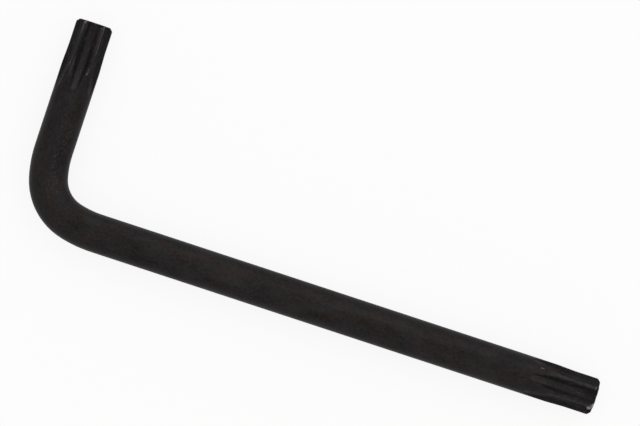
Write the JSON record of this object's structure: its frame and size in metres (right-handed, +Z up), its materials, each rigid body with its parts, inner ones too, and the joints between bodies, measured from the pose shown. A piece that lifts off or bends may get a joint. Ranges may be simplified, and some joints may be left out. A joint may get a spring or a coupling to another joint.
{
  "type": "star-drive key",
  "caption": "L-shaped key of round blackened steel bar with a six-lobed star drive on both ends, to turn recessed star screws.",
  "frame": {"origin": "centre of the key's outline seen from above, at the height of the surface that it lies on", "axes": "+X along the long arm, from the bend to its tip; +Y along the short arm, from the bend to its tip; +Z up, square to both arms"},
  "size_m": [0.0908, 0.0324, 0.0058],
  "materials": {
    "black_steel": "black oxide, satin, with fine lines along the bar and paler worn edges at the tips"
  },
  "bodies": {
    "root": {"key": "black_steel"}
  },
  "joints": []
}
